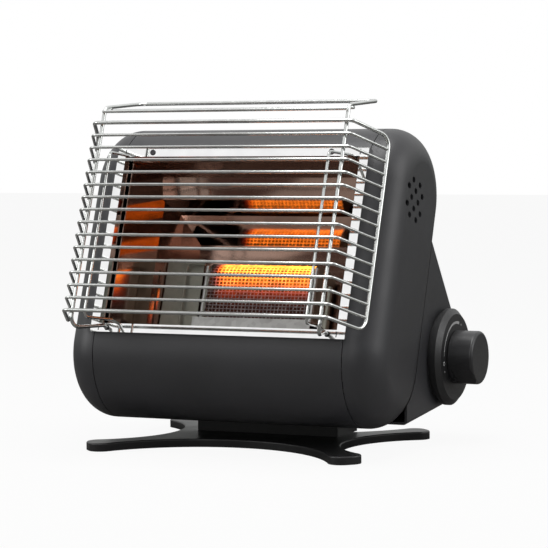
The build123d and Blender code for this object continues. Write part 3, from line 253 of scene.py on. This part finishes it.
# ---- Plated steel sheet ----------------------------------------------------------------------------
# Zinc plated sheet and tube inside the case: the tray, the burner's foot and box, the shield, the
# cradle and the gas tube. The zinc shows faint spangles a few millimetres wide.
made, tree, place = new_finish("zinc_plated_sheet")
spangle = add(tree, "ShaderNodeTexVoronoi", {"Vector": place, "Scale": 1 / 0.004})
grains = add(tree, "ShaderNodeMapRange", {"Value": spangle.outputs["Color"], "To Min": 0.30, "To Max": 0.42})
zinc = add(tree, "ShaderNodeBsdfPrincipled", {
    "Base Color": shift(tree, spangle.outputs["Color"], "#9c9c9a", "#b4b4b2"), "Metallic": 1.0,
    "Roughness": grains.outputs[0]})
close_finish(tree, zinc)
dress(made, "burner_tray", "burner_foot", "burner_body", "heat_shield", "can_cradle", "mixing_tube",
      "burner_rods")

# ---- Heat-darkened steel ---------------------------------------------------------------------------
# The bracket beside the burner, the burner's ends, the flame probe and the electrode: bare steel that
# the flame has oxidised to a dark olive grey.
made, tree, place = new_finish("oxidised_steel")
cloud = add(tree, "ShaderNodeTexNoise", {"Vector": place, "Scale": 160, "Detail": 4.0})
scale_skin = add(tree, "ShaderNodeBsdfPrincipled", {
    "Base Color": shift(tree, cloud.outputs["Fac"], "#74766c", "#908e84"), "Metallic": 0.8,
    "Roughness": wander(tree, place, 90, 0.38, 0.52)})
close_finish(tree, scale_skin)
dress(made, "electrode_bracket", "burner_ends", "flame_probe", "electrode_pin")

# ---- Burner plaque ---------------------------------------------------------------------------------
# Porous ceramic block behind the mesh, drilled with a close field of flame ports, painted darker inside as
# shade. It glows orange.
LEAN = radians(20.3)
HEIGHT_UP = Vector((0, sin(LEAN), cos(LEAN)))           # up along the leaning window
AHEAD = Vector((0, -cos(LEAN), sin(LEAN)))
AXIS = Vector((0, -0.0294, 0.0720))                     # lower axis of the case


def heat_over(tree, place):
    """How hot the burner is at a point, 0 to 1: hot at the top and cold at the left and the bottom."""
    height = add(tree, "ShaderNodeVectorMath", {0: place, 1: tuple(HEIGHT_UP)}, operation="DOT_PRODUCT")
    start = AXIS.dot(HEIGHT_UP)
    rise = add(tree, "ShaderNodeMapRange", {"Value": height.outputs["Value"], "From Min": start + 0.043,
                                            "From Max": start + 0.075}, interpolation_type="SMOOTHSTEP")
    across = add(tree, "ShaderNodeSeparateXYZ", {0: place})
    lit = add(tree, "ShaderNodeMapRange", {
        "Value": across.outputs["X"], "From Min": -0.044, "From Max": -0.030},
        interpolation_type="SMOOTHSTEP")
    both = add(tree, "ShaderNodeMath", {0: rise.outputs[0], 1: lit.outputs[0]}, operation="MULTIPLY")
    return both.outputs[0]


def glow_colour(tree, heat):
    """Dull red to bright orange as the burner gets hotter."""
    made = add(tree, "ShaderNodeValToRGB", {"Fac": heat})
    ramp = made.color_ramp
    ramp.elements[0].color = linear("#300804")
    ramp.elements[1].color = linear("#ff9630")
    for at_heat, code in ((0.3, "#b43a18"), (0.65, "#ff7a1c")):
        ramp.elements.new(at_heat).color = linear(code)
    return made.outputs["Color"]


made, tree, place = new_finish("porous_burner_ceramic")
ports = add(tree, "ShaderNodeTexVoronoi", {"Vector": place, "Scale": 1 / 0.0024})
port_relief_and_shade = add(tree, "ShaderNodeMapRange", {
    "Value": ports.outputs["Distance"], "From Min": 0.15, "From Max": 0.45})
heat = heat_over(tree, place)
ceramic = add(tree, "ShaderNodeBsdfPrincipled", {
    # Painted shade: the port mask also darkens the colour in the holes, as well as shaping their relief.
    "Base Color": shift(tree, port_relief_and_shade.outputs[0], "#140e0a", "#33261d"), "Roughness": 0.9, "IOR": 1.5,
    "Normal": relief(tree, port_relief_and_shade.outputs[0], 0.0006, 0.6),
    "Emission Color": glow_colour(tree, heat),
    "Emission Strength": wander(tree, place, 160, 0.15, 0.7)})
close_finish(tree, ceramic)
dress(made, "burner_plaque")

# ---- Burner mesh -----------------------------------------------------------------------------------
# Heat-resistant wire woven plainly at about three millimetres and folded over the top of the burner.
# It glows where the flame is and is brown-grey elsewhere.
made, tree, place = new_finish("glowing_heat_resistant_wire")
heat = heat_over(tree, place)
power = add(tree, "ShaderNodeMath", {0: heat, 1: wander(tree, place, 140, 2.0, 4.6)}, operation="MULTIPLY")
wire = add(tree, "ShaderNodeBsdfPrincipled", {
    "Base Color": shift(tree, wander(tree, place, 220, 0, 1), "#6a6264", "#98908e"), "Metallic": 1.0,
    "Roughness": 0.38, "Emission Color": glow_colour(tree, heat), "Emission Strength": power.outputs[0]})
close_finish(tree, wire)
mesh_wire = made

wire_tree = bpy.data.node_groups.new("bent_wire", "GeometryNodeTree")
for name, kind in (("Geometry", "NodeSocketGeometry"), ("Wire radius", "NodeSocketFloat"),
                   ("Copies", "NodeSocketInt"), ("Step", "NodeSocketVector"), ("Sides", "NodeSocketInt"),
                   ("Finish", "NodeSocketMaterial")):
    wire_tree.interface.new_socket(name=name, in_out="INPUT", socket_type=kind)
wire_tree.interface.new_socket(name="Geometry", in_out="OUTPUT", socket_type="NodeSocketGeometry")
given = add(wire_tree, "NodeGroupInput").outputs
bent = add(wire_tree, "GeometryNodeFilletCurve", {
    "Curve": given["Geometry"], "Radius": add(wire_tree, "GeometryNodeInputRadius").outputs[0], "Count": 8,
    "Limit Radius": True}, mode="POLY")
even = add(wire_tree, "GeometryNodeSetCurveRadius", {"Curve": bent.outputs[0], "Radius": 1.0})
ring = add(wire_tree, "GeometryNodeCurvePrimitiveCircle", {"Resolution": given["Sides"],
                                                           "Radius": given["Wire radius"]})
drawn = add(wire_tree, "GeometryNodeCurveToMesh", {"Curve": even.outputs[0], "Profile Curve": ring.outputs[0],
                                                   "Fill Caps": True})
row = add(wire_tree, "GeometryNodeMeshLine", {"Count": given["Copies"], "Offset": given["Step"]})
laid = add(wire_tree, "GeometryNodeInstanceOnPoints", {
    "Points": row.outputs[0], "Instance": drawn.outputs[0]})
real = add(wire_tree, "GeometryNodeRealizeInstances", {"Geometry": laid.outputs[0]})
smooth = add(wire_tree, "GeometryNodeSetShadeSmooth", {"Geometry": real.outputs[0]})
done = add(wire_tree, "GeometryNodeSetMaterial", {"Geometry": smooth.outputs[0], "Material": given["Finish"]})
add(wire_tree, "NodeGroupOutput", {"Geometry": done.outputs[0]})


def from_tree(name, source, group, inputs):
    """The plain mesh that a node tree makes of a source, as a new object at the origin."""
    bpy.context.scene.collection.objects.link(source)
    modifier = source.modifiers.new("made_by", "NODES")
    modifier.node_group = group
    for item in group.interface.items_tree:
        if item.item_type == "SOCKET" and item.in_out == "INPUT" and item.name in inputs:
            modifier[item.identifier] = inputs[item.name]
    bpy.context.view_layer.update()
    view = bpy.context.evaluated_depsgraph_get()
    mesh = bpy.data.meshes.new_from_object(source.evaluated_get(view), depsgraph=view)
    bpy.data.objects.remove(source)
    mesh.name = name
    piece = bpy.data.objects.new(name, mesh)
    bpy.context.scene.collection.objects.link(piece)
    return piece


def bent_wire(name, runs, radius, finish, closed=False, copies=1, step=(0, 0, 0), sides=16):
    """Wires of one radius; a run is a list of (point, bend radius in millimetres)."""
    line = bpy.data.curves.new(name, "CURVE")
    line.dimensions = "3D"
    for run in runs:
        spline = line.splines.new("POLY")
        spline.points.add(len(run) - 1)
        for made_point, (point, bend) in zip(spline.points, run):
            made_point.co = (*point, 1)
            made_point.radius = bend / 1000
        spline.use_cyclic_u = closed
    return from_tree(name, bpy.data.objects.new(name, line), wire_tree, {
        "Wire radius": radius / 1000, "Copies": copies, "Step": tuple(step), "Sides": sides,
        "Finish": finish})


def at(x, s, d):
    """A point x to the right, s up the case and d in front of its middle plane, given in millimetres."""
    return AXIS + (Vector((x, 0, 0)) + HEIGHT_UP * s + AHEAD * d) / 1000


MESH_R, MESH_HALF, WARP_COUNT, WEFT_COUNT, WARP_BEND = 0.42, 43.8, 29, 23, 1.0
FOOT_S, FOLD_S, FOLD_D, FOLD_R, TOP_LONG = 31.5, 66.0, -23.0, 12.1, 7.5
UPRIGHT_LONG = FOLD_S - FOOT_S
WARP_STEP = 2 * MESH_HALF / (WARP_COUNT - 1)
WEFT_STEP = (UPRIGHT_LONG + FOLD_R * pi / 2 + TOP_LONG) / (WEFT_COUNT - 1)


def on_mesh(x, run, proud):
    """A point of the mesh, run millimetres from its foot up the front and back over the fold."""
    turn = min(max((run - UPRIGHT_LONG) / FOLD_R, 0), pi / 2)
    behind = max(run - UPRIGHT_LONG - FOLD_R * pi / 2, 0)
    reach = FOLD_R + proud
    return at(x, FOOT_S + min(run, UPRIGHT_LONG) + reach * sin(turn), FOLD_D + reach * cos(turn) - behind)


def warp(index, first):
    """A wire that runs up the mesh and passes in front of every second cross wire."""
    x = index * WARP_STEP - MESH_HALF
    return [(on_mesh(x, j * WEFT_STEP, MESH_R if (j + first) % 2 else -MESH_R), WARP_BEND)
            for j in range(WEFT_COUNT)]


burner_warp = bent_wire("burner_mesh_warp", [warp(0, 0), warp(1, 1)], MESH_R, mesh_wire,
                        copies=(WARP_COUNT - 1) // 2, step=(2 * WARP_STEP / 1000, 0, 0), sides=8)
burner_weft = bent_wire("burner_mesh_weft", [warp(WARP_COUNT - 1, 0)] + [
    [(on_mesh(-MESH_HALF, j * WEFT_STEP, 0), 0), (on_mesh(MESH_HALF, j * WEFT_STEP, 0), 0)]
    for j in range(WEFT_COUNT)], MESH_R, mesh_wire, sides=10)
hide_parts("burner_mesh")
for piece in (burner_warp, burner_weft):
    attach(piece, "root")

# ---- Ceramic, brass, cast and moulded small parts ----------------------------------------------------
# Glazed porcelain round the electrode, brass nozzle and pipe, die-cast valve, rolled aluminium plate,
# sintered magnet and weight, blackened screws, moulded igniter, rubber pads and silicone leads.
def plain_finish(name, low, high, rough, grain, metal=0.0, ior=None, depth=0.0, coat=0.0):
    """A finish whose tone and relief wander at its real grain, in metres."""
    made, tree, place = new_finish(name)
    cloud = add(tree, "ShaderNodeTexNoise", {"Vector": place, "Scale": 1 / grain, "Detail": 3.0})
    given = {"Base Color": shift(tree, cloud.outputs["Fac"], low, high), "Metallic": metal,
             "Roughness": wander(tree, place, 0.5 / grain, rough - 0.04, rough + 0.04), "Coat Weight": coat}
    if ior:
        given["IOR"] = ior
    if depth:
        given["Normal"] = relief(tree, cloud.outputs["Fac"], depth, 0.5)
    close_finish(tree, add(tree, "ShaderNodeBsdfPrincipled", given))
    return made


dress(plain_finish("glazed_porcelain", "#dcd8ce", "#ece9e2", 0.12, 0.004, ior=1.5, coat=0.6),
      "electrode_insulator")
dress(plain_finish("turned_brass", "#b08a48", "#c8a25c", 0.28, 0.002, metal=1.0), "nozzle", "gas_pipe")
dress(plain_finish("die_cast_zinc", "#8f8f92", "#a4a4a6", 0.46, 0.0012, metal=1.0, depth=0.00004),
      "gas_valve", "nozzle_holder")
dress(plain_finish("rolled_aluminium", "#b0b0b2", "#c6c6c8", 0.35, 0.003, metal=1.0), "heat_plate")
dress(plain_finish("sintered_ferrite", "#1c1c1d", "#2c2c2e", 0.62, 0.0006, ior=1.8, depth=0.00005),
      "can_magnet", "tip_weight")
dress(plain_finish("blackened_steel", "#3c3c3e", "#525254", 0.38, 0.002, metal=1.0),
      "case_screws", "frame_screws", "base_screws", "hinge_pins", "valve_spindle")
dress(plain_finish("moulded_igniter_nylon", "#161617", "#1e1e20", 0.5, 0.0008, ior=1.53, depth=0.00003),
      "igniter")
dress(plain_finish("moulded_rubber", "#121212", "#1a1a1a", 0.72, 0.0010, ior=1.52, depth=0.00006),
      "foot_pads", "grommets")
dress(plain_finish("silicone_sleeve", "#b8b8b0", "#cccbc4", 0.55, 0.0015, ior=1.41),
      "spark_lead", "probe_lead")

# ---- Knob and bezel ----------------------------------------------------------------------------------
# Moulded ABS with a fine spark-eroded grain: the turned bezel at the end of the canister housing and the
# control knob in front of it.
dress(plain_finish("grained_black_abs", "#161617", "#1f1f21", 0.44, 0.0009, ior=1.53, depth=0.00004),
      "end_bezel")
dress(plain_finish("smooth_grey_black_abs", "#1d1d1e", "#242426", 0.36, 0.0009, ior=1.53, depth=0.00002),
      "control_knob")

# ---- Control scale -------------------------------------------------------------------------------------
# Pad-printed in light grey on the face of the bezel, round the knob: an arc that widens towards full, a
# ring for off and two dots.
FACE_X, CAN_Y, CAN_Z, SCALE_R = 0.13726, 0.0674, 0.0664, 0.0268
marks = bmesh.new()


def printed_band(centre, radius, width_from, width_to, turn_from, turn_to, steps=40):
    """A band of ink along an arc; its turns are in degrees, 0 to the back and 90 up."""
    pairs = []
    for i in range(steps + 1):
        share = i / steps
        turn = radians(turn_from + (turn_to - turn_from) * share)
        half = (width_from + (width_to - width_from) * share) / 2
        pairs.append([marks.verts.new((FACE_X, centre[0] + r * cos(turn), centre[1] + r * sin(turn)))
                      for r in (max(radius - half, 0.00002), radius + half)])
    for (a, b), (c, d) in zip(pairs[:-1], pairs[1:]):
        marks.faces.new((a, b, d, c))


def scale_point(turn):
    return CAN_Y + SCALE_R * cos(radians(turn)), CAN_Z + SCALE_R * sin(radians(turn))


printed_band((CAN_Y, CAN_Z), SCALE_R, 0.0022, 0.0007, 74, 174)
printed_band(scale_point(186), 0.0013, 0.0007, 0.0007, 0, 360)
for turn, dot in ((200, 0.0007), (64, 0.0009)):
    printed_band(scale_point(turn), dot / 2, dot, dot, 0, 360, steps=16)
bmesh.ops.remove_doubles(marks, verts=marks.verts, dist=1e-7)
bmesh.ops.recalc_face_normals(marks, faces=marks.faces)
scale_mesh = bpy.data.meshes.new("control_scale")
marks.to_mesh(scale_mesh)
marks.free()
scale_mesh.materials.append(plain_finish("light_grey_pad_print", "#9c9c9c", "#b8b8b8", 0.55, 0.0006, ior=1.5))
control_scale = bpy.data.objects.new("control_scale", scale_mesh)
bpy.context.scene.collection.objects.link(control_scale)
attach(control_scale, "root")

# ---- Stand -------------------------------------------------------------------------------------------
# A cross-shaped pressing with rolled edges and a folded bracket on it, both enamelled black.
dress(enamel("black_stove_enamel", "#19191a", "#1f1f20", 0.36), "base_stand", "base_bracket")


# ---- Wire guard ----------------------------------------------------------------------------------------
# Drawn steel wire, bent and resistance welded, then nickel and chrome plated: fourteen cross bars in a
# rim, a hoop whose feet hook into the window frame and whose top is the roof, and two uprights.
made, tree, place = new_finish("chrome_plated_wire")
cloud = wander(tree, place, 400, 0.10, 0.18)
chrome = add(tree, "ShaderNodeBsdfPrincipled", {
    "Base Color": shift(tree, wander(tree, place, 90, 0, 1), "#c8cac8", "#d8dad8"), "Metallic": 1.0,
    "Roughness": cloud})
close_finish(tree, chrome)
chrome_wire = made


def guard_piece(piece, node):
    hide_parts(node)
    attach(piece, "root")
    return piece


BAR_R, HOOP_R, WELD = 1.15, 1.45, 0.1
BAR_TOP, BAR_LOW, BAR_COUNT = 155.2, 6.7, 16
BAR_PITCH = (BAR_TOP - BAR_LOW) / (BAR_COUNT - 1)
BAR_D, BEND_X, RIM_X, RIM_D, HOOP_X, INNER_X = 95.0, 106.7, 122.0, 58.5, 101.0, 90.3
HOOP_D = BAR_D - BAR_R - HOOP_R - WELD
RIM_FRONT_D = HOOP_D + 2 * HOOP_R + WELD
SLANT = ((RIM_X - BEND_X) ** 2 + (BAR_D - RIM_D) ** 2) ** 0.5
END_X = RIM_X - (RIM_X - BEND_X) * (HOOP_R + WELD) / SLANT
END_D = RIM_D + (BAR_D - RIM_D) * (HOOP_R + WELD) / SLANT
FRAME_D, FRAME_T, HOOK_AHEAD, HOOK_DEEP = 54.2, 1.2, 6.0, 1.3
HOOK_X, HOOK_S, HOOP_LOW = 91.0, 4.9, -6.0
HOOK_D = FRAME_D - FRAME_T - HOOK_DEEP

low_bar = BAR_LOW + BAR_PITCH
guard_piece(bent_wire("guard_cross_bars", [[
    (at(-END_X, low_bar, END_D), 0), (at(-BEND_X, low_bar, BAR_D), 5), (at(BEND_X, low_bar, BAR_D), 5),
    (at(END_X, low_bar, END_D), 0)]], BAR_R, chrome_wire, copies=BAR_COUNT - 2,
    step=HEIGHT_UP * BAR_PITCH / 1000), "guard_bars")

guard_piece(bent_wire("guard_outer_rim", [[
    (at(BEND_X, BAR_TOP, RIM_FRONT_D), 5), (at(RIM_X, BAR_TOP, RIM_D), 9), (at(RIM_X, BAR_LOW, RIM_D), 9),
    (at(BEND_X, BAR_LOW, RIM_FRONT_D), 5), (at(-BEND_X, BAR_LOW, RIM_FRONT_D), 5),
    (at(-RIM_X, BAR_LOW, RIM_D), 9), (at(-RIM_X, BAR_TOP, RIM_D), 9),
    (at(-BEND_X, BAR_TOP, RIM_FRONT_D), 5)]], HOOP_R, chrome_wire, closed=True), "guard_rim")

ROOF_S, ROOF_DEEP, ROOF_RISE = 168.4, 0.057, 0.003
roof_front = at(HOOP_X, ROOF_S, HOOP_D)
half_hoop = [(at(HOOK_X, HOOK_S, HOOK_D), 0), (at(HOOK_X, HOOK_S, FRAME_D + HOOK_AHEAD), 4),
             (at(HOOP_X, HOOP_LOW, HOOP_D), 7), (roof_front, 7),
             (roof_front + Vector((0, ROOF_DEEP, ROOF_RISE)), 7)]
mirrored = [(Vector((-p.x, p.y, p.z)), bend) for p, bend in reversed(half_hoop)]
guard_piece(bent_wire("guard_roof_hoop", [half_hoop + mirrored], HOOP_R, chrome_wire), "guard_hoop")

UPRIGHT_D, LINER_D = BAR_D - 2 * BAR_R - WELD, FRAME_D - 4.5
LOW_WELD_X, TOP_WELD_X, UPRIGHT_TOP = 84.5, 93.8, 132.3
LOW_WELD_S, TOP_WELD_S = 8.3 + BAR_R + WELD, 142.2 - BAR_R - WELD
guard_piece(bent_wire("guard_inner_uprights", [[
    (at(side * LOW_WELD_X, LOW_WELD_S, LINER_D), 0),
    (at(side * LOW_WELD_X, LOW_WELD_S, FRAME_D + HOOK_AHEAD), 4),
    (at(side * INNER_X, BAR_LOW - 4, UPRIGHT_D), 4), (at(side * INNER_X, UPRIGHT_TOP, UPRIGHT_D), 4),
    (at(side * TOP_WELD_X, TOP_WELD_S, FRAME_D + HOOK_AHEAD), 4),
    (at(side * TOP_WELD_X, TOP_WELD_S, LINER_D), 0)]
    for side in (-1, 1)], BAR_R, chrome_wire), "guard_uprights")

roof_half = HOOP_X / 1000
ahead_wire = at(0, ROOF_S - 4.1, HOOP_D + HOOP_R + BAR_R + WELD)
under_wire = Vector((0, roof_front.y + 0.010,
                     roof_front.z + ROOF_RISE * 0.010 / ROOF_DEEP - (HOOP_R + BAR_R + WELD) / 1000))
guard_piece(bent_wire("guard_roof_wires", [[
    (middle - Vector((roof_half, 0, 0)), 0), (middle + Vector((roof_half, 0, 0)), 0)]
    for middle in (ahead_wire, under_wire)], BAR_R, chrome_wire), "roof_wires")
